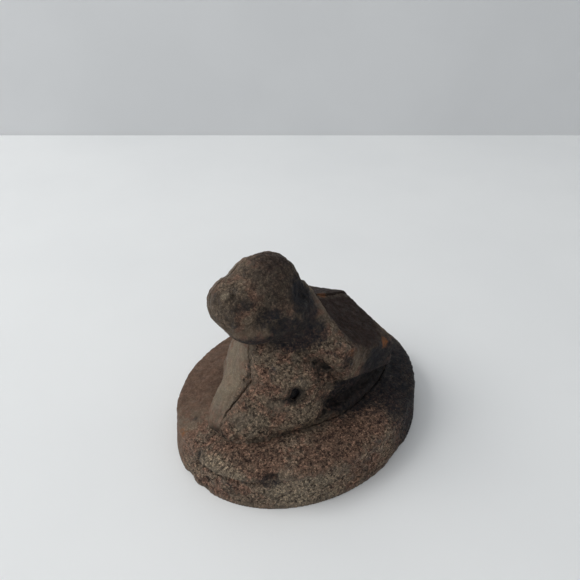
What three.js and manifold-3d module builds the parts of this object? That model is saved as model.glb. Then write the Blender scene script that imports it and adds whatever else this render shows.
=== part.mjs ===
// Cast-iron figural paperweight: an oval plinth with a crowned top, and a worn seated creature
// cast in two halves that meet along its length. All sizes are in millimetres, +Z is up, the
// creature looks along -X, and the origin is under the middle of the plinth.
import * as THREE from 'three';
import { mergeVertices } from 'three/addons/utils/BufferGeometryUtils.js';
import { LoftGeometry } from 'three/addons/geometries/LoftGeometry.js';
import Module from 'manifold-3d';

const wasm = await Module();
wasm.setup();

// Plinth
const PLINTH_LENGTH = 84;
const PLINTH_WIDTH = 69;
const RIM_HEIGHT = 11.2;
const RIM_DRAFT = 0.9;
const RIM_ROUND = 1.2;
const TIER_RISE = 2.4;
const GROOVE_DEPTH = 1.3;
const GROOVE_WIDTH = 2;
const SEAT_STEP = 0.3;

// Foot of the creature, as margins inside the plinth's outline
const FOOT_FRONT_MARGIN = 9;
const FOOT_REAR_MARGIN = 11;
const FOOT_SIDE_MARGIN = 14.5;
const FOOT_THICKNESS = 2.8;

// Head: its parts stand a little towards the far side
const OVERALL_HEIGHT = 61.5;
const HEAD_SHIFT_Y = 2;
const SKULL_X = -12.5;
const SKULL_LENGTH = 20.6;
const SKULL_WIDTH = 20.4;
const SKULL_HEIGHT = 21.4;
const MUZZLE_X = -21.5;
const MUZZLE_RISE = 0.4;
const MUZZLE_LENGTH = 17;
const MUZZLE_WIDTH = 18;
const MUZZLE_HEIGHT = 13.4;
const JAW_X = -16;
const JAW_DROP = 5.6;
const JAW_LENGTH = 16;
const JAW_WIDTH = 16;
const JAW_HEIGHT = 10;

// Body
const CHEST_FRONT_X = -22;
const CHEST_REAR_X = 3;
const CHEST_WIDTH = 23;
const CHEST_HEIGHT = 32;
const NECK_FRONT_X = -18.5;
const NECK_REAR_X = 1;
const NECK_WIDTH = 20;
const TOE_WIDTH = 24;
const TOE_INSET = 0.6;
const FLANK_X = -12.5;
const FLANK_Y = 8.5;
const FLANK_LENGTH = 14;
const FLANK_WIDTH = 15;
const FLANK_HEIGHT = 21;
const SHOULDER_X = -1;
const SHOULDER_HEIGHT = 50;
const BACK_X = 5;
const BACK_HEIGHT = 41.6;
const BACK_REAR_X = 21;
const BACK_FALL = 6.2;
const BACK_WIDTH = 40;
const BACK_SIDE_DROP = 8;
const BACK_THICKNESS = 9.4;
const RUMP_X = 10;
const RUMP_LENGTH = 26;
const RUMP_WIDTH = 22;

// Parting face between the two castings: upright, then bent towards the far side at the head
const PARTING_BEND_START = 42;
const PARTING_BEND_END = 56;
const PARTING_SHIFT = 6.3;

// Fixings and clearances
const JOINT_GAP = 0.3;
const HOLE_CLEARANCE = 0.3;
const SCREW_SHANK = 4;
const SCREW_HEAD = 7.2;
const SCREW_HEAD_THICKNESS = 2.6;
const SCREW_SLOT_WIDTH = 1;
const SCREW_SLOT_DEPTH = 1.1;
const SCREW_GRIP = 9;
const SCREW_RECESS = 1.4;
const SCREW_FRONT_X = -18;
const SCREW_REAR_X = 12;
const SCREW_SIDE_Y = 8;
const RIVET_SHANK = 4;
const RIVET_HEAD = 5.4;
const RIVET_HEAD_THICKNESS = 1.6;
const RIVET_SINK = 5.5;
const CHEST_RIVET = { x: -14, z: 25, reach: 12.6 };
const RUMP_RIVET = { x: 3.5, z: 19.4, reach: 9.4 };
const DOWEL_DIAMETER = 3;
const DOWEL_LENGTH = 9;
const NECK_DOWEL = { x: -8, z: 40 };
const FOOT_DOWEL = { x: -27, z: 17.5 };

// Facets
const OVAL_SIDES = 48;
const BODY_SIDES = 36;
const ROUND_SIDES = 24;
const FAR_OUT = 120;

// Places that follow from the sizes above
const crestZ = RIM_HEIGHT + TIER_RISE;
const grooveZ = crestZ - GROOVE_DEPTH;
const seatZ = grooveZ + SEAT_STEP;
const figureZ = seatZ + JOINT_GAP;
const footTopZ = figureZ + FOOT_THICKNESS;
const footFront = -PLINTH_LENGTH / 2 + FOOT_FRONT_MARGIN;
const footRear = PLINTH_LENGTH / 2 - FOOT_REAR_MARGIN;
const footWidth = PLINTH_WIDTH - 2 * FOOT_SIDE_MARGIN;
const skullZ = OVERALL_HEIGHT - SKULL_HEIGHT / 2;
const muzzleZ = skullZ + MUZZLE_RISE;
const jawZ = skullZ - JAW_DROP;

const iron = new THREE.MeshStandardMaterial({ color: 0x4a3930, roughness: 0.86, metalness: 0.35 });
const darkIron = new THREE.MeshStandardMaterial({ color: 0x37302d, roughness: 0.8, metalness: 0.4 });
const steel = new THREE.MeshStandardMaterial({ color: 0x5a5048, roughness: 0.6, metalness: 0.7 });

const part = new THREE.Group();

/** Turns a closed geometry into a solid that can be joined and cut. */
function solid(geometry) {
  geometry.deleteAttribute('normal');
  geometry.deleteAttribute('uv');
  const merged = mergeVertices(geometry, 1e-4);
  const vertProperties = new Float32Array(merged.attributes.position.array);
  const triVerts = new Uint32Array(merged.index.array);
  return new wasm.Manifold(new wasm.Mesh({ numProp: 3, vertProperties, triVerts }));
}

/** Adds a solid to the part as a named mesh. */
function addPiece(name, body, material) {
  const { vertProperties, triVerts } = body.getMesh();
  const geometry = new THREE.BufferGeometry();
  geometry.setAttribute('position', new THREE.BufferAttribute(new Float32Array(vertProperties), 3));
  geometry.setIndex(new THREE.BufferAttribute(new Uint32Array(triVerts), 1));
  geometry.computeVertexNormals();
  const mesh = new THREE.Mesh(geometry, material);
  mesh.name = name;
  part.add(mesh);
}

/** One level oval ring of points, anticlockwise from above; a higher power squares it up. */
function oval({ x = 0, z, length, width, power = 2, sides = BODY_SIDES }) {
  return Array.from({ length: sides }, (_, i) => {
    const angle = (2 * Math.PI * i) / sides;
    const [c, s] = [Math.cos(angle), Math.sin(angle)];
    const px = x + (length / 2) * Math.sign(c) * Math.abs(c) ** (2 / power);
    const py = (width / 2) * Math.sign(s) * Math.abs(s) ** (2 / power);
    return new THREE.Vector3(px, py, z);
  });
}

/** Solid skinned over a list of rings. */
function loft(sections) {
  return solid(new LoftGeometry(sections, { capStart: true, capEnd: true }));
}

/** Solid ellipsoid about a middle point. */
function ellipsoid(x, y, z, length, width, height) {
  const ball = new THREE.SphereGeometry(0.5, BODY_SIDES, ROUND_SIDES);
  ball.scale(length, width, height);
  ball.translate(x, y, z);
  return solid(ball);
}

/** Round bar along Y between two places. */
function crossBar(x, z, diameter, fromY, toY) {
  const bar = new THREE.CylinderGeometry(diameter / 2, diameter / 2, toY - fromY, ROUND_SIDES);
  bar.translate(x, (fromY + toY) / 2, z);
  return solid(bar);
}

/** Round bar along Z between two heights. */
function uprightBar(x, y, diameter, fromZ, toZ) {
  const bar = new THREE.CylinderGeometry(diameter / 2, diameter / 2, toZ - fromZ, ROUND_SIDES);
  bar.rotateX(Math.PI / 2);
  bar.translate(x, y, (fromZ + toZ) / 2);
  return solid(bar);
}

/** Ring of the plinth's top, from the rim (share 0) to the creature's foot (share 1). */
function topRing(share, z) {
  const front = THREE.MathUtils.lerp(-PLINTH_LENGTH / 2 + RIM_DRAFT, footFront, share);
  const rear = THREE.MathUtils.lerp(PLINTH_LENGTH / 2 - RIM_DRAFT, footRear, share);
  const width = THREE.MathUtils.lerp(PLINTH_WIDTH - 2 * RIM_DRAFT, footWidth, share);
  return oval({ x: (front + rear) / 2, z, length: rear - front, width, sides: OVAL_SIDES });
}

/** Oval plinth: drafted rim, crowned tier and a groove round the level seat. */
function plinth() {
  const grooveShare = 1 - (2 * GROOVE_WIDTH) / (PLINTH_WIDTH - footWidth);
  return loft([
    oval({ z: 0, length: PLINTH_LENGTH, width: PLINTH_WIDTH, sides: OVAL_SIDES }),
    topRing(0, RIM_HEIGHT - RIM_ROUND),
    topRing(RIM_ROUND / FOOT_SIDE_MARGIN, RIM_HEIGHT),
    topRing(grooveShare * 0.45, crestZ - TIER_RISE / 4),
    topRing(grooveShare * 0.75, crestZ),
    topRing(grooveShare, crestZ - GROOVE_DEPTH / 3),
    topRing(1, grooveZ),
    topRing(1.05, seatZ),
  ]);
}

/** Low foot under the creature, filling the seat. */
function foot() {
  const ring = (z, inset, power) => oval({
    x: (footFront + footRear) / 2, z, power,
    length: footRear - footFront - 2 * inset, width: footWidth - 2 * inset,
  });
  return loft([
    ring(figureZ, 0.4, 2.2), ring(figureZ + 1, 0, 2.2),
    ring(footTopZ - 1, 0.8, 2.2), ring(footTopZ, 2.4, 2.2),
  ]);
}

/** Chest and neck: they flare from the head down to the toes at the front of the foot. */
function chest() {
  const toeFront = footFront + TOE_INSET;
  const level = (z, front, rear, width) =>
    oval({ x: (front + rear) / 2, z, length: rear - front, width, power: 1.9 });
  return loft([
    level(figureZ + 1, toeFront, CHEST_REAR_X - 6, TOE_WIDTH),
    level(footTopZ + 1, toeFront + 1, CHEST_REAR_X - 6, TOE_WIDTH),
    level(footTopZ + 5, (toeFront * 3 + CHEST_FRONT_X) / 4, CHEST_REAR_X - 5, CHEST_WIDTH),
    level((footTopZ + CHEST_HEIGHT) / 2 + 2, CHEST_FRONT_X - 2.5, CHEST_REAR_X - 3, CHEST_WIDTH),
    level(CHEST_HEIGHT, CHEST_FRONT_X, CHEST_REAR_X, CHEST_WIDTH),
    level((CHEST_HEIGHT + jawZ) / 2, (CHEST_FRONT_X + NECK_FRONT_X) / 2, CHEST_REAR_X, NECK_WIDTH + 1),
    level(jawZ, NECK_FRONT_X, NECK_REAR_X, NECK_WIDTH),
    level(skullZ, SKULL_X - SKULL_LENGTH / 4, SKULL_X + SKULL_LENGTH / 2 - 1, NECK_WIDTH - 4),
  ]);
}

/** Swelling of the lower chest on both sides, above the forefeet. */
function flanks() {
  const middleZ = figureZ + 0.5 + FLANK_HEIGHT / 2;
  return [-FLANK_Y, FLANK_Y]
    .map((y) => ellipsoid(FLANK_X, y, middleZ, FLANK_LENGTH, FLANK_WIDTH, FLANK_HEIGHT))
    .reduce((one, other) => one.add(other));
}

/** One upright gabled ring across the back: ridge, two edges and a narrower underside. */
function gable(x, ridgeZ, width, edgeZ, thickness) {
  const [half, keel] = [width / 2, width / 4];
  const lowZ = edgeZ - thickness;
  return [
    [0, ridgeZ], [-half, edgeZ], [-half, lowZ], [-keel, lowZ - thickness / 3],
    [keel, lowZ - thickness / 3], [half, lowZ], [half, edgeZ],
  ].map(([y, z]) => new THREE.Vector3(x, y, z));
}

/** Shoulders and the broad back, which falls to the rear and to both sides. */
function back() {
  const rearZ = BACK_HEIGHT - BACK_FALL;
  const shoulderEdgeZ = BACK_HEIGHT - BACK_SIDE_DROP + 1;
  return loft([
    gable(SHOULDER_X - 13, BACK_HEIGHT, BACK_WIDTH / 4, BACK_HEIGHT - 4, BACK_THICKNESS),
    gable(SHOULDER_X - 6, SHOULDER_HEIGHT - 3, BACK_WIDTH * 0.8, shoulderEdgeZ, BACK_THICKNESS - 1),
    gable(SHOULDER_X, SHOULDER_HEIGHT, BACK_WIDTH, shoulderEdgeZ, BACK_THICKNESS),
    gable(BACK_X, BACK_HEIGHT, BACK_WIDTH, BACK_HEIGHT - BACK_SIDE_DROP, BACK_THICKNESS),
    gable(BACK_REAR_X, rearZ, BACK_WIDTH, rearZ - BACK_SIDE_DROP, BACK_THICKNESS),
    gable(BACK_REAR_X + 1.5, rearZ - 2, BACK_WIDTH - 3, rearZ - BACK_SIDE_DROP - 1.5, BACK_THICKNESS - 3),
  ]);
}

/** Narrow rump that carries the back down to the foot. */
function rump() {
  const level = (z, spread) => oval({
    x: RUMP_X, z, power: 2.6, length: RUMP_LENGTH + spread, width: RUMP_WIDTH + spread,
  });
  return loft([
    level(figureZ + 1, 4), level(footTopZ + 1, 3), level(footTopZ + 5, 0),
    level(BACK_HEIGHT - BACK_FALL - BACK_SIDE_DROP, 0),
  ]);
}

/** Skull, blunt muzzle and the jaw under them. */
function head() {
  const skull = ellipsoid(SKULL_X, HEAD_SHIFT_Y, skullZ, SKULL_LENGTH, SKULL_WIDTH, SKULL_HEIGHT);
  const muzzle = ellipsoid(MUZZLE_X, HEAD_SHIFT_Y, muzzleZ, MUZZLE_LENGTH, MUZZLE_WIDTH, MUZZLE_HEIGHT);
  const jaw = ellipsoid(JAW_X, 0, jawZ, JAW_LENGTH, JAW_WIDTH, JAW_HEIGHT);
  return skull.add(muzzle).add(jaw);
}

/** Everything on the far side of the parting face, moved sideways by an offset. */
function farSide(offset) {
  const outline = new THREE.Shape();
  outline.moveTo(offset, -1);
  outline.lineTo(offset, PARTING_BEND_START);
  const middle = (PARTING_BEND_START + PARTING_BEND_END) / 2;
  outline.bezierCurveTo(
    offset, middle, PARTING_SHIFT + offset, middle, PARTING_SHIFT + offset, PARTING_BEND_END,
  );
  outline.lineTo(PARTING_SHIFT + offset, FAR_OUT);
  outline.lineTo(FAR_OUT, FAR_OUT);
  outline.lineTo(FAR_OUT, -1);
  outline.closePath();
  const block = new THREE.ExtrudeGeometry(outline, {
    depth: 2 * FAR_OUT, bevelEnabled: false, curveSegments: 8,
  });
  block.rotateY(Math.PI / 2);
  block.rotateX(Math.PI / 2);
  block.translate(-FAR_OUT, 0, 0);
  return solid(block);
}

/** Slotted screw standing in a counterbore under the plinth. */
function screw(x, y) {
  const headTop = SCREW_RECESS + SCREW_HEAD_THICKNESS;
  const slot = new THREE.BoxGeometry(SCREW_HEAD * 1.2, SCREW_SLOT_WIDTH, SCREW_SLOT_DEPTH * 2);
  slot.translate(x, y, SCREW_RECESS);
  return uprightBar(x, y, SCREW_HEAD, SCREW_RECESS, headTop)
    .add(uprightBar(x, y, SCREW_SHANK, headTop - 0.5, figureZ + SCREW_GRIP))
    .subtract(solid(slot));
}

/** Hole and counterbore that take one screw. */
function screwHole(x, y) {
  const headTop = SCREW_RECESS + SCREW_HEAD_THICKNESS + JOINT_GAP;
  const holeTop = figureZ + SCREW_GRIP + HOLE_CLEARANCE;
  return uprightBar(x, y, SCREW_HEAD + 2 * HOLE_CLEARANCE, -1, headTop)
    .add(uprightBar(x, y, SCREW_SHANK + 2 * HOLE_CLEARANCE, headTop - 0.5, holeTop));
}

/** Tie rivet across both halves, with a head sunk in each side. */
function rivet({ x, z, reach }) {
  const shank = crossBar(x, z, RIVET_SHANK, -reach + 0.5, reach - 0.5);
  const nearHead = crossBar(x, z, RIVET_HEAD, -reach, -reach + RIVET_HEAD_THICKNESS);
  const farHead = crossBar(x, z, RIVET_HEAD, reach - RIVET_HEAD_THICKNESS, reach);
  return shank.add(nearHead).add(farHead);
}

/** Hole through both halves, wider where the rivet's heads are sunk. */
function rivetHole({ x, z, reach }) {
  const headHole = RIVET_HEAD + 2 * HOLE_CLEARANCE;
  const shoulder = reach - RIVET_HEAD_THICKNESS - JOINT_GAP;
  return crossBar(x, z, RIVET_SHANK + 2 * HOLE_CLEARANCE, -shoulder - 1, shoulder + 1)
    .add(crossBar(x, z, headHole, -reach - RIVET_SINK, -shoulder))
    .add(crossBar(x, z, headHole, shoulder, reach + RIVET_SINK));
}

/** Plain locating dowel across the parting face. */
function dowel({ x, z }) {
  return crossBar(x, z, DOWEL_DIAMETER, -DOWEL_LENGTH / 2, DOWEL_LENGTH / 2);
}

/** Blind hole for one dowel. */
function dowelHole({ x, z }) {
  const half = DOWEL_LENGTH / 2 + HOLE_CLEARANCE;
  return crossBar(x, z, DOWEL_DIAMETER + 2 * HOLE_CLEARANCE, -half, half);
}

const screws = {
  screw_front_near: [SCREW_FRONT_X, -SCREW_SIDE_Y],
  screw_front_far: [SCREW_FRONT_X, SCREW_SIDE_Y],
  screw_rear_near: [SCREW_REAR_X, -SCREW_SIDE_Y],
  screw_rear_far: [SCREW_REAR_X, SCREW_SIDE_Y],
};
const rivets = { chest_rivet: CHEST_RIVET, rump_rivet: RUMP_RIVET };
const dowels = { neck_dowel: NECK_DOWEL, foot_dowel: FOOT_DOWEL };

let base = plinth();
let figure = foot().add(chest()).add(flanks()).add(back()).add(rump()).add(head());
for (const [x, y] of Object.values(screws)) {
  base = base.subtract(screwHole(x, y));
  figure = figure.subtract(screwHole(x, y));
}
for (const place of Object.values(rivets)) figure = figure.subtract(rivetHole(place));
for (const place of Object.values(dowels)) figure = figure.subtract(dowelHole(place));

addPiece('plinth', base, darkIron);
addPiece('near_half_casting', figure.subtract(farSide(-JOINT_GAP / 2)), iron);
addPiece('far_half_casting', figure.intersect(farSide(JOINT_GAP / 2)), iron);
for (const [name, [x, y]] of Object.entries(screws)) addPiece(name, screw(x, y), steel);
for (const [name, place] of Object.entries(rivets)) addPiece(name, rivet(place), steel);
for (const [name, place] of Object.entries(dowels)) addPiece(name, dowel(place), steel);

export default part;
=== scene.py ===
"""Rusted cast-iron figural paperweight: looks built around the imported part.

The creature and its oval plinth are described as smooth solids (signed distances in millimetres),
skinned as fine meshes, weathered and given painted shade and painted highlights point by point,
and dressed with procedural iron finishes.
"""
import logging
import math
from collections.abc import Callable
from dataclasses import dataclass
from enum import Enum

import bpy
import numpy as np
from mathutils import Matrix, Vector


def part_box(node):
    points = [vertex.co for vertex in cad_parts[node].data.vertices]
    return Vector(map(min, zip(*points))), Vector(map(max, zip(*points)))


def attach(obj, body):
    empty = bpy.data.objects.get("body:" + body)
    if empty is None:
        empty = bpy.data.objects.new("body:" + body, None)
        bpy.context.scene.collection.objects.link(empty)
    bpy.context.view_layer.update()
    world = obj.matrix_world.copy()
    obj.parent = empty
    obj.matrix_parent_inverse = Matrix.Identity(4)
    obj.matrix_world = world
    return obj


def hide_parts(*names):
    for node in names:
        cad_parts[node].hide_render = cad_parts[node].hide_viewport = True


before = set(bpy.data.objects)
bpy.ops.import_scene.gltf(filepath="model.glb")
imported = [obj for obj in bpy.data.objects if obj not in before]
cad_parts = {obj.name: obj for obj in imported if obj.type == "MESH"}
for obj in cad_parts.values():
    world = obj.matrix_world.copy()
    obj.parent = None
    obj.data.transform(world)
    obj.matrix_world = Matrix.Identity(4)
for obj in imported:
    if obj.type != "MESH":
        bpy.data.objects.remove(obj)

MM = 0.001
ROOT = "root"
Array = np.ndarray
Point = tuple[float, float, float]
Distance = Callable[[np.ndarray], np.ndarray]
Socket = bpy.types.NodeSocket
log = logging.getLogger("paperweight")

# Fits between the pieces, in millimetres like every size below
SHANK_RADIUS = 2.0
CLEARANCE = 0.3
SINK_EASE = 0.1
HOLE_LOW = -5.0
CROWN_INSET = 0.2
PLINTH_INSET = 0.15
SEAT_GAP = 0.2
SEAT_EASE = 0.12

# Meshing in millimetres: steps of the castings and the fixings, distance kept from the sides of
# a node's box, and distance from a surface within which its fine detail is worked out
FULL_PITCHES = (0.37, 0.25)
BOX_INSET = 0.02
DETAIL_BAND = 1.8

# Meshing in grid steps and counts
GRID_MARGIN = 2.5
SETTLE_REACH = 0.35
SETTLE_ROUNDS = 2
BATCHES = 12

# Lattice noise
PRIMES = (73856093, 19349663, 83492791)
SEED_PRIME = 2654435761
STIR_PRIME = 1274126177
PIT_DEPTH = 1.1
PIT_LEVEL = 0.78

# Masks of the weathered zones, some of which also carry painted shade and painted highlights
SPOT_CORE = 0.35
CAVITY_REACH = 2.4
EDGE_REACH = 1.5
# Gain that lightens sharp edges, for worn edges and painted edge highlights
WEAR_AND_HIGHLIGHT_GAIN = 1.3
RUST_OVER_WEAR_AND_HIGHLIGHT = 0.7
MASK_TOP = 1.6

# Finishes: the colour mix node's sockets, whose labels repeat, then the darker tone of the red
# rust and how far noise moves the edge of a mask
MIX_SHARE, MIX_FIRST, MIX_SECOND, MIX_COLOUR = 0, 6, 7, 2
RUST_SHADE = 0.66
RAGGED_EDGE = 0.42


class Slot(Enum):
    """Material slots of the record."""

    CREATURE = "rusted_cast_iron"
    PLINTH = "rusted_plinth_iron"
    FIXING = "rusted_steel"


class Mask(Enum):
    """Point attributes that carry the weathered zones, with painted shade and painted highlights, into the
    finishes.
    """

    GRAIN = "sand_grain"
    # Blue-black patina together with painted shade on the sides turned from the light and under overhangs
    SOOT_AND_SHADE = "blue_black_and_shade"
    RUST = "red_rust"
    OCHRE = "ochre_rust"
    # Pale dust together with painted light on lit sides and edges, and a painted glint
    PALE_AND_LIGHT = "pale_dust_and_light"
    # Worn edges together with painted edge highlights
    WEAR_AND_HIGHLIGHT = "edge_wear_and_highlight"
    # How deep in a hollow a point lies; the finishes darken it there as painted shade
    CAVITY = "cavity"
    # Darker tone over the head, and painted shade over the back, the near flank and the plinth's right half,
    # away from the light
    DARK_AND_SHADE = "dark_tone_and_shade"


# ---- small maths


def smoothstep(low: float, high: float, value: Array) -> Array:
    """Eases from 0 at low to 1 at high."""
    t = np.clip((value - low) / (high - low), 0.0, 1.0)
    return t * t * (3.0 - 2.0 * t)


def join(a: Array, b: Array, radius: float) -> Array:
    """Joins two solids' distances with a fillet of about the given radius."""
    h = np.clip(0.5 + 0.5 * (b - a) / radius, 0.0, 1.0)
    return b * (1.0 - h) + a * h - radius * h * (1.0 - h)


def cut(a: Array, b: Array, radius: float) -> Array:
    """Keeps what is inside both distances, with a rounded edge between them."""
    return -join(-a, -b, radius)


def squircle(u: Array, v: Array, power: Array | float) -> Array:
    """Radius of a point in units of a superellipse with unit half axes."""
    return (np.abs(u) ** power + np.abs(v) ** power) ** (1.0 / power)


@dataclass(frozen=True)
class Noise:
    """Seeded lattice noise between 0 and 1.

    Attributes:
        seed: Number that picks the pattern.
        size: Distance between lattice points, in millimetres.
    """

    seed: int
    size: float

    def _corner(self, cell: Array, offset: tuple[int, int, int]) -> Array:
        """Gives the fixed random value at one corner of each lattice cell.

        Args:
            cell: Lattice cells, one row each.
            offset: Corner of the cell, in steps along X, Y and Z.

        Returns:
            Values between 0 and 1.
        """
        i, j, k = (cell + np.array(offset)).T.astype(np.int64)
        h = (i * PRIMES[0]) ^ (j * PRIMES[1]) ^ (k * PRIMES[2]) ^ (self.seed * SEED_PRIME)
        h = (h ^ (h >> 13)) * STIR_PRIME
        return ((h ^ (h >> 16)) & 0xFFFF) / 65535.0

    def at(self, points: Array) -> Array:
        """Samples the noise.

        Args:
            points: Places in millimetres, one row each.

        Returns:
            One value per place.
        """
        scaled = points / self.size
        cell = np.floor(scaled)
        f = scaled - cell
        f = f * f * (3.0 - 2.0 * f)
        total = np.zeros(len(points))
        for dx in (0, 1):
            for dy in (0, 1):
                for dz in (0, 1):
                    share = (
                        (f[:, 0] if dx else 1 - f[:, 0])
                        * (f[:, 1] if dy else 1 - f[:, 1])
                        * (f[:, 2] if dz else 1 - f[:, 2])
                    )
                    total += share * self._corner(cell, (dx, dy, dz))
        return total


def ripple(points: Array, seed: int, size: float, height: float) -> Array:
    """Gives noise of a full height, evenly above and below zero."""
    return height * (Noise(seed, size).at(points) - 0.5)


def pitted(points: Array, seed: int, size: float) -> Array:
    """Gives the depth of scattered pits, which lie where the noise is highest."""
    return PIT_DEPTH * np.clip(Noise(seed, size).at(points) - PIT_LEVEL, 0.0, 1.0)


@dataclass(frozen=True)
class Spot:
    """Soft round zone.

    Attributes:
        centre: Middle of the zone, in millimetres.
        reach: Half sizes along X, Y and Z, where the zone fades out.
        strength: Value in the middle.
    """

    centre: Point
    reach: Point
    strength: float = 1.0

    def at(self, points: Array) -> Array:
        """Gives the zone's strength at each place."""
        r = np.linalg.norm((points - np.array(self.centre)) / np.array(self.reach), axis=1)
        return self.strength * (1.0 - smoothstep(SPOT_CORE, 1.0, r))


def strongest(spots: tuple[Spot, ...], points: Array) -> Array:
    """Gives the strongest of several zones at each place."""
    return np.max([spot.at(points) for spot in spots], axis=0)


def carved(points: Array, body: Array, dents: tuple[Spot, ...], lumps: tuple[Spot, ...]) -> Array:
    """Presses dents into a solid and raises lumps on it.

    Args:
        points: Places in millimetres, one row each.
        body: Signed distance at each place.
        dents: Zones to lower, by their strength in millimetres.
        lumps: Zones to raise.

    Returns:
        The changed distances.
    """
    for dent in dents:
        body = body + dent.at(points)
    for lump in lumps:
        body = body - lump.at(points)
    return body


# ---- solids


@dataclass(frozen=True)
class Ellipsoid:
    """Egg-shaped solid.

    Attributes:
        centre: Its middle.
        radii: Its half sizes along X, Y and Z.
    """

    centre: Point
    radii: Point

    def distance(self, points: Array) -> Array:
        """Gives the signed distance.

        Args:
            points: Places, one row each.

        Returns:
            Distances, below zero inside.
        """
        q = points - np.array(self.centre)
        r = np.array(self.radii)
        k0 = np.linalg.norm(q / r, axis=1)
        k1 = np.linalg.norm(q / r**2, axis=1) + 1e-9
        return k0 * (k0 - 1.0) / k1


@dataclass(frozen=True)
class Limb:
    """Round limb that tapers from one ball to another.

    Attributes:
        start, end: Middles of the two balls.
        start_radius, end_radius: Their radii.
    """

    start: Point
    end: Point
    start_radius: float
    end_radius: float

    def distance(self, points: Array) -> Array:
        """Gives the signed distance.

        Args:
            points: Places, one row each.

        Returns:
            Distances, below zero inside.
        """
        a, b = np.array(self.start), np.array(self.end)
        along = np.clip(((points - a) @ (b - a)) / ((b - a) @ (b - a)), 0.0, 1.0)
        radius = self.start_radius + (self.end_radius - self.start_radius) * along
        return np.linalg.norm(points - a - along[:, None] * (b - a), axis=1) - radius


@dataclass(frozen=True)
class Bore:
    """Round hole along one axis.

    Attributes:
        axis: 1 for a hole along Y, 2 for one along Z.
        centre: Its place on the two other axes.
        radius: Its radius.
        low, high: Its ends.
    """

    axis: int
    centre: tuple[float, float]
    radius: float
    low: float
    high: float

    def distance(self, points: Array) -> Array:
        """Gives the signed distance.

        Args:
            points: Places, one row each.

        Returns:
            Distances, below zero inside.
        """
        u, v = np.delete(points, self.axis, axis=1).T
        along = points[:, self.axis]
        wall = np.hypot(u - self.centre[0], v - self.centre[1]) - self.radius
        return np.maximum(wall, np.maximum(self.low - along, along - self.high))


@dataclass(frozen=True)
class Station:
    """Level section of an upright column.

    Attributes:
        height: Its height.
        front, rear: Its ends along X.
        half_width: Half its size along Y.
    """

    height: float
    front: float
    rear: float
    half_width: float


@dataclass(frozen=True)
class Column:
    """Upright column whose level sections change smoothly between stations.

    Attributes:
        stations: Its sections, from the lowest up.
        power: Squareness of the sections; 2 is an ellipse.
        steepness: Share that keeps the distance from running ahead where the column flares.
    """

    stations: tuple[Station, ...]
    power: float = 1.9
    steepness: float = 0.85

    def _eased(self, z: Array, values: Array) -> Array:
        """Runs a smooth curve through one value per station.

        Args:
            z: Heights to look up.
            values: Value at each station.

        Returns:
            One value per height.
        """
        heights = np.array([s.height for s in self.stations])
        slopes = np.gradient(values, heights)
        z = np.clip(z, heights[0], heights[-1])
        i = np.clip(np.searchsorted(heights, z) - 1, 0, len(heights) - 2)
        step = heights[i + 1] - heights[i]
        t = (z - heights[i]) / step
        start = (2 * t**3 - 3 * t**2 + 1) * values[i] + (t**3 - 2 * t**2 + t) * step * slopes[i]
        end = (3 * t**2 - 2 * t**3) * values[i + 1] + (t**3 - t**2) * step * slopes[i + 1]
        return start + end

    def distance(self, points: Array) -> Array:
        """Gives the signed distance.

        Args:
            points: Places, one row each.

        Returns:
            Distances, below zero inside.
        """
        x, y, z = points.T
        front = self._eased(z, np.array([s.front for s in self.stations]))
        rear = self._eased(z, np.array([s.rear for s in self.stations]))
        half = self._eased(z, np.array([s.half_width for s in self.stations]))
        length = (rear - front) / 2
        rho = squircle((x - (front + rear) / 2) / length, y / half, self.power)
        ends = np.maximum(self.stations[0].height - z, z - self.stations[-1].height)
        return np.maximum((rho - 1.0) * np.minimum(length, half) * self.steepness, ends)


# ---- skinning


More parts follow.
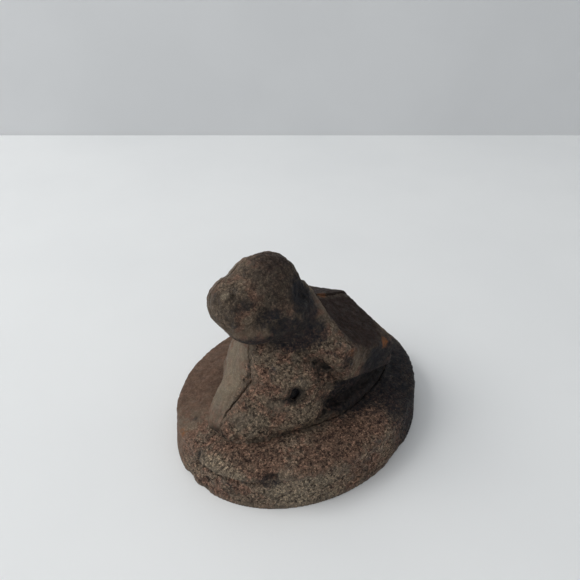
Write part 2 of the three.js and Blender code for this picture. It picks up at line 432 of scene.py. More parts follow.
@dataclass(frozen=True)
class Skinner:
    """Turns sampled distances into a mesh of even quads, then settles it on the true surface.

    Attributes:
        pitch: Grid step, in millimetres.
    """

    pitch: float

    def grid(self, low: Array, high: Array) -> tuple[Array, tuple[int, int, int]]:
        """Lays out sample places.

        Args:
            low: Lowest corner of the region.
            high: Highest corner of the region.

        Returns:
            The places, one row each, and the number of steps along each axis.
        """
        axes = [np.arange(a, b + self.pitch, self.pitch) for a, b in zip(low, high)]
        shape = tuple(len(axis) for axis in axes)
        places = np.stack(np.meshgrid(*axes, indexing="ij"), axis=-1).reshape(-1, 3)
        return places, shape

    def _corners(self, values: Array) -> tuple[Array, Array]:
        """Finds one point in each cell that the surface passes through.

        Args:
            values: Signed distances on the grid.

        Returns:
            Points in grid steps, and the number of the point in each cell, or -1.
        """
        inside = values < 0
        nx, ny, nz = inside.shape
        offsets = [(i, j, k) for i in (0, 1) for j in (0, 1) for k in (0, 1)]
        count = sum(
            inside[i : nx - 1 + i, j : ny - 1 + j, k : nz - 1 + k].astype(np.int8)
            for i, j, k in offsets
        )
        crossed = (count > 0) & (count < 8)
        number = np.full(crossed.shape, -1, dtype=np.int64)
        number[crossed] = np.arange(int(crossed.sum()))
        cells = np.argwhere(crossed)
        total = np.zeros((len(cells), 3))
        hits = np.zeros(len(cells))
        for a in offsets:
            for axis in range(3):
                if a[axis]:
                    continue
                b = tuple(1 if i == axis else a[i] for i in range(3))
                va = values[tuple((cells + a).T)]
                vb = values[tuple((cells + b).T)]
                hit = (va < 0) != (vb < 0)
                share = va[hit] / (va[hit] - vb[hit])
                total[hit] += np.array(a) + share[:, None] * (np.array(b) - np.array(a))
                hits[hit] += 1
        return cells + total / hits[:, None], number

    def skin(self, values: Array, low: Array) -> tuple[Array, Array]:
        """Skins the surface where the distances change sign.

        Args:
            values: Signed distances on the grid.
            low: Place of the grid's first sample.

        Returns:
            Points in millimetres, and quads as rows of point numbers.
        """
        corners, number = self._corners(values)
        inside = values < 0
        quads = []
        for axis in range(3):
            u, v = (axis + 1) % 3, (axis + 2) % 3
            first = [slice(1, -1)] * 3
            second = [slice(1, -1)] * 3
            first[axis], second[axis] = slice(0, -1), slice(1, None)
            change = inside[tuple(first)] != inside[tuple(second)]
            start = np.argwhere(change)
            start[:, u] += 1
            start[:, v] += 1
            step_u, step_v = np.eye(3, dtype=int)[u], np.eye(3, dtype=int)[v]
            ring = [start - step_u - step_v, start - step_v, start, start - step_u]
            quad = np.stack([number[tuple(cell.T)] for cell in ring], axis=1)
            solid_first = inside[tuple(start.T)]
            quads.append(np.where(solid_first[:, None], quad, quad[:, ::-1]))
        return np.array(low) + corners * self.pitch, np.concatenate(quads)


def slope(distance: Distance, points: Array, step: float = 0.12) -> Array:
    """Gives the direction in which a distance grows fastest, as unit rows.

    Args:
        distance: Solid, as a signed distance.
        points: Places, one row each.
        step: Half the stretch over which the change is taken.

    Returns:
        Unit directions, one row per place.
    """
    shifts = np.eye(3) * step
    rows = np.stack([distance(points + s) - distance(points - s) for s in shifts], axis=1)
    return rows / (np.linalg.norm(rows, axis=1, keepdims=True) + 1e-9)


# ---- the creature


@dataclass(frozen=True)
class PartingFace:
    """Face where the two castings meet: upright, then bent to the far side at the head.

    Attributes:
        bend_start, bend_end: Heights between which it bends.
        shift: How far the bend takes it.
        belly: How far it bows to the near side on the chest.
        belly_height, belly_reach: Where it bows most, and over what height.
        ragged_band: How far from the face its raggedness is worked out.
        gap: Half the gap between the castings everywhere.
        crack_low, crack_high: Ends of the crack down the chest.
        crack_opening, nape_opening, crown_opening: Half the extra gap on the chest, nape and head.
    """

    bend_start: float = 42.0
    bend_end: float = 56.0
    shift: float = 6.3
    belly: float = 2.4
    belly_height: float = 27.5
    belly_reach: float = 5.5
    ragged_band: float = 2.5
    gap: float = 0.02
    crack_low: float = 19.5
    crack_high: float = 37.5
    crack_opening: float = 0.20
    nape_opening: float = 0.25
    crown_opening: float = 0.13

    def side(self, points: Array) -> Array:
        """Gives the distance to the far side of the face, with a slightly ragged run.

        Args:
            points: Places, one row each.

        Returns:
            Distances, above zero on the far side.
        """
        _, y, z = points.T
        belly = self.belly * np.exp(-(((z - self.belly_height) / self.belly_reach) ** 2))
        away = y - self.shift * smoothstep(self.bend_start, self.bend_end, z) + belly
        close = np.abs(away) < self.ragged_band
        level = points[close] * (1, 0, 1)
        away[close] -= ripple(level, 11, 4.2, 0.9)
        away[close] -= ripple(level, 12, 1.5, 0.45)
        return away

    def opening(self, points: Array) -> Array:
        """Gives half the width of the crack, which is widest down the chest.

        Args:
            points: Places, one row each.

        Returns:
            Half widths in millimetres.
        """
        x, _, z = points.T
        chest = smoothstep(self.crack_low - 2, self.crack_low + 1.5, z)
        chest *= 1.0 - smoothstep(self.crack_high - 2, self.crack_high + 3, z)
        chest *= 1.0 - smoothstep(-14, -9, x)
        nape = smoothstep(2, 5, x) * (1.0 - smoothstep(16, 20, x)) * smoothstep(33, 36, z)
        crown = self.crown_opening * smoothstep(49, 53, z)
        wide = self.crack_opening * chest + self.nape_opening * nape + crown
        used = wide > 0
        wide[used] *= 0.35 + 0.9 * Noise(13, 3.1).at(points[used] * (1, 0, 1))
        return self.gap + wide


@dataclass(frozen=True)
class Creature:
    """Worn seated creature: blunt head, thick neck, flared chest and a broad falling back.

    Attributes:
        seat: Height of its foot's underside.
        crown: Height of the top of its head.
        skull, muzzle, jaw: Half sizes of the head's lumps.
        back_height: Height of the spine behind the neck.
        back_half_width: Half width of the back.
        side_fall, far_side_fall: How steeply the back falls to its near and far side.
        rear_fall: How steeply it falls to the rear.
        spine_start, rear: Where the back starts and ends along X.
        foot_half_width: Half width of the foot.
        foot_height: Height of the foot.
    """

    seat: float
    crown: float
    skull: Point = (10.8, 10.3, 10.7)
    muzzle: Point = (8.7, 8.4, 7.3)
    jaw: Point = (9.0, 8.4, 5.6)
    back_height: float = 41.6
    back_half_width: float = 20.0
    side_fall: float = 0.40
    far_side_fall: float = 0.31
    rear_fall: float = 0.40
    spine_start: float = 5.0
    rear: float = 21.3
    foot_half_width: float = 20.0
    foot_height: float = 2.7

    def _head(self, points: Array) -> Array:
        """Skull over a blunt muzzle, with a brow line between them and a jaw beneath.

        Args:
            points: Places, one row each.

        Returns:
            Distances, below zero inside.
        """
        z = self.crown - self.skull[2]
        skull = Ellipsoid((-12.7, 2.0, z), self.skull).distance(points)
        muzzle = Ellipsoid((-21.0, 2.4, z + 0.5), self.muzzle).distance(points)
        muzzle = cut(muzzle, -29.0 - points[:, 0], 2.5)
        jaw = Ellipsoid((-18.0, -0.6, z - 4.6), self.jaw).distance(points)
        cheek = Ellipsoid((-13.5, -4.2, z - 3.2), (7.0, 6.6, 6.6)).distance(points)
        head = join(join(skull, cheek, 2.0), jaw, 1.6)
        return join(head, muzzle, 1.2)

    def _chest(self, points: Array) -> Array:
        """Neck and chest, flaring forward to the toes.

        Args:
            points: Places, one row each.

        Returns:
            Distances, below zero inside.
        """
        low = self.seat - 1.0
        stations = (
            Station(low, -34.5, -3.0, 12.6),
            Station(low + 4, -33.2, -3.5, 12.2),
            Station(low + 8, -30.4, -4.0, 11.6),
            Station(26, -24.6, 0.0, 11.2),
            Station(32, -22.0, 3.0, 11.2),
            Station(38, -20.2, 3.0, 10.8),
            Station(43, -18.6, 1.0, 9.9),
            Station(50, -17.0, -2.0, 9.0),
        )
        return Column(stations).distance(points)

    def back_top(self, points: Array) -> Array:
        """Height above the back's falling top face.

        Args:
            points: Places, one row each.

        Returns:
            Distances, below zero under the face.
        """
        x, y, z = points.T
        fall = np.where(y < 0, self.side_fall, self.far_side_fall)
        lift = 0.5 * smoothstep(-0.6, 0.6, y)
        top = self.back_height + lift - self.rear_fall * (x - self.spine_start) - fall * np.abs(y)
        return (z - top) / math.sqrt(1 + self.side_fall**2 + self.rear_fall**2)

    def _back(self, points: Array) -> Array:
        """Broad slab of the back with blunt ends that overhang the plinth.

        Args:
            points: Places, one row each.

        Returns:
            Distances, below zero inside.
        """
        x, y, z = points.T
        top = self.back_top(points)
        under = (18.2 - z - 0.35 * (x - 18.0)) / 1.06
        slab = cut(top, under, 1.4)
        ends = cut(np.abs(y) - self.back_half_width, x - self.rear, 2.6)
        slab = cut(cut(slab, ends, 1.3), -(x + 3.0), 1.0)
        rump = (squircle((x - 10.0) / 13.0, y / 11.0, 2.6) - 1.0) * 11.0
        rump = np.maximum(rump, top + 2.5)
        return join(slab, rump, 3.0)

    def _shoulders(self, mirrored: Array) -> Array:
        """Sloping shoulders that run out to the corners of the back.

        Args:
            mirrored: Places with their Y made positive.

        Returns:
            Distances, below zero inside.
        """
        shoulder = Limb((-6.0, 0.0, 43.0), (-2.4, 17.0, 33.2), 8.0, 4.2).distance(mirrored)
        ridge = Limb((-2.2, 3.0, 46.4), (-0.6, 18.2, 34.8), 2.4, 1.0).distance(mirrored)
        return join(shoulder, ridge, 2.2)

    def _foot(self, points: Array) -> Array:
        """Low foot, pointed at the front and square at the rear."""
        rim = self.foot_rim(points)
        return cut(rim, points[:, 2] - self.seat - self.foot_height, 1.6)

    def foot_rim(self, points: Array) -> Array:
        """Level distance from the foot's outline.

        Args:
            points: Places, one row each.

        Returns:
            Distances, below zero inside.
        """
        x, y, _ = points.T
        power = np.where(x < 1.0, 1.6, 2.6)
        return (squircle((x - 1.0) / 31.0, y / self.foot_half_width, power) - 1.0) * 17.0

    def distance(self, points: Array) -> Array:
        """Gives the signed distance of the whole creature, without fine grain.

        Args:
            points: Places, one row each.

        Returns:
            Distances, below zero inside.
        """
        mirrored = points * (1, 0, 1) + np.abs(points) * (0, 1, 0)
        flank = Limb((-12.0, 7.0, 27.0), (-13.0, 10.5, self.seat + 6), 7.0, 6.4).distance(mirrored)
        paw = Ellipsoid((-12.4, 14.4, self.seat + 5.6), (4.8, 3.6, 3.5)).distance(mirrored)
        haunch = Limb((-9.0, 9.0, 25.0), (6.5, 12.6, 25.2), 6.5, 5.6).distance(mirrored)
        skirt = Limb((-3.0, 11.5, 19.5), (14.0, 12.0, 18.5), 6.0, 5.5).distance(mirrored)
        body = join(self._chest(points), self._shoulders(mirrored), 4.0)
        body = join(body, haunch, 3.0)
        body = join(body, skirt, 3.0)
        body = join(body, flank, 4.0)
        body = join(body, self._back(points), 2.0)
        body = join(body, self._foot(points), 2.4)
        body = join(body, paw, 1.2)
        body = join(body, self._head(points), 2.2)
        return self._marks(points, body)

    def _marks(self, points: Array, body: Array) -> Array:
        """Adds the hollows, nicks and folds that wear and casting left.

        Args:
            points: Places, one row each.
            body: Signed distance at each place.

        Returns:
            The changed distances.
        """
        dents = (
            Spot((-14.8, -13.0, 25.0), (4.4, 3.6, 4.0), 1.25),
            Spot((-3.0, -17.0, self.seat + 5), (5.0, 4.0, 5.0), 1.0),
            Spot((-25.2, -4.0, 54.4), (3.0, 3.0, 2.2), 0.6),
            Spot((-21.8, -7.0, 51.2), (3.2, 3.0, 2.4), 0.7),
            Spot((-18.0, -8.8, 47.6), (3.6, 3.0, 2.4), 0.6),
            Spot((-25.6, -0.6, 55.8), (3.2, 1.3, 1.6), 0.6),
            Spot((-8.0, -7.5, 52.5), (4.5, 4.0, 5.0), 0.7),
            Spot((-13.0, 7.5, 61.0), (7.0, 1.6, 4.0), 0.35),
            Spot((4.0, -2.5, 41.5), (2.6, 2.4, 3.0), 0.9),
            Spot((-12.0, -12.0, self.seat + 9.6), (5.0, 3.2, 1.2), 0.7),
            Spot((-18.0, -12.5, self.seat + 11.1), (5.5, 3.6, 1.5), 0.8),
            Spot((18.5, -19.5, 28.5), (4.5, 3.0, 4.0), 0.6),
        )
        lumps = (
            Spot((-29.5, 4.0, 51.0), (3.0, 4.0, 4.0), 0.5),
            Spot((-18.0, -13.0, self.seat + 4), (7.0, 5.0, 4.0), 0.8),
            Spot((-5.5, 5.0, 58.0), (5.0, 5.0, 5.0), 0.4),
        )
        body = carved(points, body, dents, lumps)
        pit = Spot((-15.0, -14.0, 25.1), (2.6, 3.2, 2.2), 1.1).at(points)
        used = pit > 0
        pit[used] *= 0.35 + 1.1 * Noise(26, 1.3).at(points[used])
        return body + pit

    def grain_zone(self, points: Array) -> Array:
        """Share of coarse sand grain: full on the near flank, faint on the head and back.

        Args:
            points: Places, one row each.

        Returns:
            Shares between 0 and 1.
        """
        x, y, z = points.T
        near = 1.0 - smoothstep(-1.0, 0.6, y)
        low = 1.0 - smoothstep(36.0, 46.0, z)
        slab = smoothstep(-1.5, 1.5, x)
        head = smoothstep(44.0, 50.0, z)
        return np.maximum(0.26 + 0.74 * near * low * (1.0 - 0.85 * slab), 0.5 * head)

    def grained(self, points: Array, body: Array) -> Array:
        """Adds undulation, sand grain and rust pits to distances close to the surface.

        Args:
            points: Places, one row each.
            body: Signed distance at each place.

        Returns:
            The changed distances.
        """
        zone = self.grain_zone(points)
        wavy = ripple(points, 21, 7.5, 0.55) + ripple(points, 22, 3.2, 0.22)
        grain = ripple(points, 23, 1.2, 0.42) + ripple(points, 24, 0.75, 0.30)
        pits = pitted(points, 25, 1.6)
        return body + wavy * (0.35 + 0.65 * zone) + (0.25 + zone) * grain + pits * (0.3 + zone)


@dataclass(frozen=True)
class Plinth:
    """Oval plinth with a drafted rim, a crowned top and a groove around the creature's foot.

    Attributes:
        half_length, half_width: Half axes of its foot.
        top: Height of its crest.
        rim_height: Height of its rim.
        draft: How much the rim leans in.
        foot_margin: Distance from the rim to the creature's foot.
        groove: Depth of the groove round the foot.
        lip, lip_height, lip_reach: Hollow under the rim's front edge.
        bead, bead_height, bead_reach: Bead along that edge.
    """

    half_length: float
    half_width: float
    top: float
    rim_height: float = 11.3
    draft: float = 0.08
    foot_margin: float = 14.5
    groove: float = 0.25
    lip: float = 0.5
    lip_height: float = 8.7
    lip_reach: float = 0.8
    bead: float = 0.7
    bead_height: float = 10.6
    bead_reach: float = 0.9

    def distance(self, points: Array) -> Array:
        """Gives the signed distance, without fine grain.

        Args:
            points: Places, one row each.

        Returns:
            Distances, below zero inside.
        """
        x, y, z = points.T
        rho = np.hypot(x / self.half_length, y / self.half_width)
        wall = (rho - 1.0) * self.half_width + self.draft * z
        share = (1.0 - rho) * self.half_width / self.foot_margin
        rise = self.top - self.rim_height
        groove = self.groove * smoothstep(0.62, 0.85, share)
        crest = self.rim_height + rise * np.clip(1.5 * share, 0.0, 1.0) ** 0.8 - groove
        front = smoothstep(-1.5, 1.0, -y) * smoothstep(28.0, 36.0, -x)
        lip = self.lip * np.exp(-(((z - self.lip_height) / self.lip_reach) ** 2)) * front
        bead = self.bead * np.exp(-(((z - self.bead_height) / self.bead_reach) ** 2)) * front
        return self._marks(points, cut(wall + lip - bead, (z - crest) * 0.9, 1.1))

    def _marks(self, points: Array, body: Array) -> Array:
        """Adds rim chips, flats and the shoulder line on the near side of the top.

        Args:
            points: Places, one row each.
            body: Signed distance at each place.

        Returns:
            The changed distances.
        """
        dents = (
            Spot((-42.0, 4.5, 0.0), (3.5, 3.0, 3.0), 0.5),
            Spot((-41.6, -2.2, 1.0), (2.6, 2.6, 2.6), 0.35),
            Spot((-41.4, 0.4, 8.0), (3.6, 1.6, 6.0), 0.85),
            Spot((-33.6, -20.0, 10.5), (5.0, 4.0, 2.2), 0.7),
            Spot((6.0, -34.0, 0.0), (7.0, 3.0, 3.0), 0.5),
            Spot((30.0, 24.0, 11.0), (9.0, 4.0, 3.0), 0.5),
        )
        lumps = (
            Spot((-40.5, 9.0, 5.0), (5.0, 9.0, 5.0), 0.45),
            Spot((-22.0, -24.0, 12.5), (20.0, 7.0, 2.5), 0.5),
            Spot((2.0, -27.5, 12.5), (18.0, 4.5, 2.5), 0.5),
        )
        return carved(points, body, dents, lumps)

    def grain_zone(self, points: Array) -> Array:
        """Share of coarse sand grain: full on the near side and front of the rim.

        Args:
            points: Places, one row each.

        Returns:
            Shares between 0 and 1.
        """
        x, y, _ = points.T
        near = 1.0 - smoothstep(-6.0, 8.0, y + 0.25 * (x + 20.0))
        worn = smoothstep(18.0, 34.0, x)
        return 0.24 + 0.76 * near * (1.0 - 0.7 * worn)

    def grained(self, points: Array, body: Array) -> Array:
        """Adds undulation, grain and pits above the resting face.

        Args:
            points: Places, one row each.
            body: Signed distance at each place.

        Returns:
            The changed distances.
        """
        zone = self.grain_zone(points) * smoothstep(0.2, 1.6, points[:, 2])
        above = smoothstep(0.0, 1.2, points[:, 2])
        wavy = ripple(points, 31, 9.0, 0.6) + ripple(points, 32, 3.4, 0.25)
        grain = ripple(points, 33, 1.2, 0.38) + ripple(points, 34, 0.75, 0.28)
        pits = pitted(points, 35, 1.7)
        return body + above * (wavy * (0.35 + 0.65 * zone) + (0.2 + zone) * (grain + pits))


# ---- whole pieces as distances


def banded(distance: Distance, detail: Callable[[Array, Array], Array]) -> Distance:
    """Adds fine detail to a distance, but only close to its surface.

    Args:
        distance: Smooth solid.
        detail: Takes places and their smooth distances, and gives the detailed ones.

    Returns:
        The detailed solid.
    """

    def full(points: Array) -> Array:
        """Gives the detailed distance.

        Args:
            points: Places, one row each.

        Returns:
            Distances, below zero inside.
        """
        body = distance(points)
        near = np.abs(body) < DETAIL_BAND
        body[near] = detail(points[near], body[near])
        return body

    return full


@dataclass(frozen=True)
class HalfCasting:
    """One of the creature's two castings.

    Attributes:
        creature: Whole shape.
        parting: Face that divides it.
        sign: 1 for the near half, -1 for the far half.
        bores: Holes for the pins and screws.
        sinks: Pockets for the rivet heads, which rust has closed over.
    """

    creature: Creature
    parting: PartingFace
    sign: float
    bores: tuple[Bore, ...]
    sinks: tuple[Bore, ...]

    def trimmed(self, points: Array, body: Array) -> Array:
        """Takes the other half, the underside and the bores away from the whole shape.

        Args:
            points: Places, one row each.
            body: Signed distance at each place.

        Returns:
            The changed distances.
        """
        side = self.sign * self.parting.side(points) + self.parting.opening(points)
        body = np.maximum(body, side)
        body = np.maximum(body, self.creature.seat - points[:, 2])
        for bore in self.bores + self.sinks:
            body = np.maximum(body, -bore.distance(points))
        return body

    def distance(self, points: Array) -> Array:
        """Gives the signed distance with its grain."""
        whole = banded(self.creature.distance, self.creature.grained)
        return self.trimmed(points, whole(points))


@dataclass(frozen=True)
class PlinthCasting:
    """The plinth with its grain, its screw holes and the shallow seat for the creature.

    Attributes:
        plinth: Whole shape.
        creature: What stands on it.
        bores: Holes for the screws.
    """

    plinth: Plinth
    creature: Creature
    bores: tuple[Bore, ...]

    def distance(self, points: Array) -> Array:
        """Gives the signed distance with its grain.

        Args:
            points: Places, one row each.

        Returns:
            Distances, below zero inside.
        """
        body = banded(self.plinth.distance, self.plinth.grained)(points)
        z = points[:, 2]
        level = self.creature.seat - SEAT_GAP - z
        seat = np.maximum(level, self.creature.foot_rim(points) - SEAT_EASE)
        body = np.maximum(np.maximum(body, -seat), -z)
        for bore in self.bores:
            body = np.maximum(body, -bore.distance(points))
        return body


@dataclass(frozen=True)
class Screw:
    """Slotted screw that stands head down.

    Attributes:
        x, y: Its axis.
        shank, head: Their radii.
        low, high: Its ends.
        head_height: Height of the head.
        thread_pitch, thread_depth: The thread's step, and half its depth.
        thread_inset: How far the thread's middle lies inside the shank's radius.
        slot_half_width, slot_depth: The slot.
    """

    x: float
    y: float
    shank: float
    head: float
    low: float
    high: float
    head_height: float = 2.6
    thread_pitch: float = 0.8
    thread_depth: float = 0.12
    thread_inset: float = 0.14
    slot_half_width: float = 0.5
    slot_depth: float = 1.1

    def distance(self, points: Array) -> Array:
        """Gives the signed distance, with a shallow thread on the shank.

        Args:
            points: Places, one row each.

        Returns:
            Distances, below zero inside.
        """
        x, y, z = points.T
        r = np.hypot(x - self.x, y - self.y)
        turn = np.arctan2(y - self.y, x - self.x) / (2 * math.pi)
        thread = self.thread_depth * np.cos(2 * math.pi * (z / self.thread_pitch - turn))
        neck = self.low + self.head_height
        shank = cut(r - self.shank + self.thread_inset + thread, z - self.high, 0.5)
        shank = np.maximum(shank, neck - 0.3 - z)
        head = cut(r - self.head, cut(self.low - z, z - neck, 0.2), 0.5)
        slot = np.maximum(np.abs(y - self.y) - self.slot_half_width, z - self.low - self.slot_depth)
        return np.maximum(np.minimum(shank, head), -slot)


@dataclass(frozen=True)
class Rivet:
    """Cross rivet with two low domed heads.

    Attributes:
        x, z: Its axis.
        shank, head: Their radii.
        near, far: Its ends.
        head_height: Height of a head.
        dome_drop, dome_curve: How low the dome starts, and how much lower its edge is.
    """

    x: float
    z: float
    shank: float
    head: float
    near: float
    far: float
    head_height: float = 1.6
    dome_drop: float = 0.25
    dome_curve: float = 0.4

    def distance(self, points: Array) -> Array:
        """Gives the signed distance, with hammered heads.

        Args:
            points: Places, one row each.

        Returns:
            Distances, below zero inside.
        """
        x, y, z = points.T
        r = np.hypot(x - self.x, z - self.z)
        middle, reach = (self.near + self.far) / 2, (self.far - self.near) / 2
        out = np.abs(y - middle) - reach
        rough = ripple(points, 23, 1.2, 0.5) + ripple(points, 24, 0.75, 0.35)
        dome = out + self.dome_drop + self.dome_curve * (r / self.head) ** 2 + rough
        head = cut(cut(r - self.head, dome, 0.4), -out - self.head_height, 0.2)
        return np.minimum(np.maximum(r - self.shank, out + 0.6), head)


@dataclass(frozen=True)
class Dowel:
    """Plain cross pin with eased ends.

    Attributes:
        x, z: Its axis.
        radius: Its radius.
        near, far: Its ends.
    """

    x: float
    z: float
    radius: float
    near: float
    far: float

    def distance(self, points: Array) -> Array:
        """Gives the signed distance.

        Args:
            points: Places, one row each.

        Returns:
            Distances, below zero inside.
        """
        x, y, z = points.T
        r = np.hypot(x - self.x, z - self.z)
        return cut(r - self.radius, np.maximum(self.near - y, y - self.far), 0.5)


# ---- weathered zones, painted shade and painted highlights


@dataclass(frozen=True)
class WeatheringAndShade:
    """Where each kind of rust, dust and soot sits on a piece, and where painted shade and painted highlights
    go.

    Attributes:
        soot, rust, ochre, pale, dark: Zones of each kind; soot also holds painted shade, pale painted light
            and dark painted shade.
    """

    soot_and_shade: tuple[Spot, ...] = ()
    rust: tuple[Spot, ...] = ()
    ochre: tuple[Spot, ...] = ()
    pale: tuple[Spot, ...] = ()
    dark: tuple[Spot, ...] = ()

    def masks(self, points: Array, distance: Distance, grain: Array) -> dict[Mask, Array]:
        """Works out every point attribute.

        Args:
            points: Mesh points in millimetres.
            distance: Solid that the points lie on.
            grain: Share of sand grain at each point.

        Returns:
            Values from 0 to MASK_TOP for each mask; the highest cover without a break.
        """
        out = slope(distance, points, 0.5)
        # How deep in a hollow each point lies; the finishes lay painted shade there
        deep = (CAVITY_REACH - distance(points + CAVITY_REACH * out)) / CAVITY_REACH
        # How sharp an edge each point lies on, for worn edges and painted edge highlights
        sharp = WEAR_AND_HIGHLIGHT_GAIN * (EDGE_REACH + distance(points - EDGE_REACH * out)) / EDGE_REACH
        masks = {Mask.GRAIN: grain, Mask.CAVITY: deep, Mask.WEAR_AND_HIGHLIGHT: sharp}
        kinds = {Mask.SOOT_AND_SHADE: self.soot_and_shade, Mask.RUST: self.rust}
        kinds |= {Mask.OCHRE: self.ochre, Mask.PALE_AND_LIGHT: self.pale, Mask.DARK_AND_SHADE: self.dark}
        for mask, spots in kinds.items():
            masks[mask] = strongest(spots, points) if spots else np.zeros(len(points))
        masks[Mask.WEAR_AND_HIGHLIGHT] = sharp * (1.0 - RUST_OVER_WEAR_AND_HIGHLIGHT * np.minimum(masks[Mask.RUST], 1.0))
        return {mask: np.clip(value, 0.0, MASK_TOP) for mask, value in masks.items()}


CREATURE_WEATHERING_AND_SHADE = WeatheringAndShade(
    # Blue-black patina, and painted shade on the head's near side, under the jaw, in the muzzle's fold, in
    # the hollow under the back and in the rivet pit
    soot_and_shade=(
        Spot((-7.5, -9.0, 50.5), (8.0, 8.0, 10.0), 1.15),
        Spot((-12.5, -10.5, 42.0), (13.0, 9.0, 6.5), 1.3),
        Spot((-25.0, -3.5, 54.6), (5.5, 3.5, 2.4), 0.45),
        Spot((-21.0, -8.0, 50.5), (6.5, 5.0, 4.0), 0.75),
        Spot((-16.5, -10.5, 46.5), (8.0, 6.0, 5.0), 0.95),
        Spot((10.0, -18.0, 15.5), (18.0, 7.0, 4.0), 1.6),
        Spot((-20.0, -4.0, 44.2), (10.0, 9.0, 4.0), 1.2),
        Spot((-18.0, -12.5, 24.0), (5.5, 4.0, 1.8), 0.55),
        Spot((8.0, -15.0, 18.0), (22.0, 15.0, 10.0), 1.5),
        Spot((13.0, -21.0, 24.5), (13.0, 7.0, 8.0), 1.2),
        Spot((4.0, -17.0, 19.5), (7.5, 9.0, 7.0), 1.3),
        Spot((-15.2, -13.5, 25.0), (2.6, 4.0, 2.6), 0.85),
        Spot((18.0, 0.0, 22.0), (9.0, 22.0, 8.0), 0.6),
        Spot((-6.0, -13.0, 31.0), (6.0, 7.0, 6.0), 0.35),
    ),
    rust=(
        Spot((12.0, -6.0, 37.0), (19.0, 26.0, 12.0), 1.6),
        Spot((3.0, 12.0, 38.0), (15.0, 18.0, 12.0), 1.2),
        Spot((-10.0, -1.0, 60.0), (9.0, 9.0, 5.0), 0.55),
    ),
    ochre=(
        Spot((16.5, -19.5, 28.3), (3.2, 2.6, 2.6), 0.7),
        Spot((5.0, -1.0, 41.5), (2.2, 1.8, 2.2), 0.75),
        Spot((9.5, 0.0, 39.5), (3.0, 1.6, 2.4), 0.5),
        Spot((-1.0, -19.5, 35.0), (2.0, 2.4, 2.0), 0.35),
    ),
    # Pale dust, and painted light: a painted glint on the muzzle's nick, the lit far side of the chest and
    # head, and painted highlights on the paw and lower flank
    pale=(
        Spot((-25.0, 7.0, 29.0), (12.0, 10.0, 22.0), 0.68),
        Spot((-25.9, 1.2, 56.2), (2.8, 1.6, 1.4), 0.9),
        Spot((-13.0, 10.0, 57.0), (11.0, 4.5, 9.0), 0.55),
        Spot((-15.0, -13.0, 32.0), (8.0, 7.0, 7.0), 0.35),
        Spot((-15.0, -16.0, 19.0), (9.0, 7.0, 6.0), 0.55),
        Spot((-28.0, -8.0, 19.0), (9.0, 9.0, 7.0), 0.5),
    ),
    # Darker tone over the head, and painted shade over the back and the near flank, away from the light
    dark=(
        Spot((-11.0, -2.0, 54.0), (15.0, 13.0, 14.0), 1.2),
        Spot((-22.0, 2.0, 52.0), (12.0, 11.0, 9.0), 0.85),
        Spot((12.0, 0.0, 30.0), (17.0, 34.0, 20.0), 1.2),
        Spot((-3.0, -12.0, 30.0), (10.0, 12.0, 14.0), 0.45),
    ),
)

PLINTH_WEATHERING_AND_SHADE = WeatheringAndShade(
    # Blue-black patina, and the creature's painted shadow on the right of the top and under the back, with
    # painted shade on the right of the rim and in its creases
    soot_and_shade=(
        Spot((26.0, -24.0, 8.0), (31.0, 26.0, 22.0), 1.3),
        Spot((40.0, 2.0, 6.0), (14.0, 24.0, 14.0)),
        Spot((-33.5, -20.0, 9.5), (5.0, 5.0, 3.0), 0.55),
        Spot((8.0, -14.0, 13.0), (20.0, 14.0, 5.0), 1.5),
        Spot((-40.5, 0.4, 9.0), (3.0, 1.4, 4.0), 0.7),
    ),
    rust=(
        Spot((-16.0, 24.0, 12.0), (30.0, 24.0, 8.0)),
        Spot((-38.0, 14.0, 6.0), (12.0, 16.0, 8.0), 0.7),
        Spot((-10.0, -26.0, 13.0), (28.0, 9.0, 4.0), 0.95),
        Spot((-31.0, -10.0, 13.5), (12.0, 16.0, 3.5), 0.8),
        Spot((-12.0, -33.0, 5.0), (20.0, 6.0, 5.0), 0.5),
    ),
    ochre=(
        Spot((-38.5, 10.0, 11.0), (2.5, 3.0, 2.0), 0.4),
        Spot((-41.0, 7.0, 3.0), (2.0, 2.5, 2.5), 0.35),
    ),
    # Pale dust, and a painted highlight on the bead along the rim's front edge, with painted light on the
    # rim's left and front
    pale=(
        Spot((-39.0, -8.0, 10.9), (6.0, 10.0, 2.4), 1.6),
        Spot((-40.0, 8.0, 4.0), (6.0, 12.0, 6.0), 0.35),
        Spot((-26.0, -27.0, 5.5), (20.0, 14.0, 8.0), 1.15),
    ),
    # Painted shade over the plinth's right half, away from the light
    dark=(Spot((22.0, 0.0, 10.0), (24.0, 40.0, 14.0), 0.9),),
)

# Blue-black patina and painted shade over the chest rivet, which sits in a pit
FIXING_WEATHERING_AND_SHADE = WeatheringAndShade(soot_and_shade=(Spot((-14.0, -12.0, 25.0), (6.0, 6.0, 6.0), 1.2),))


# ---- finishes


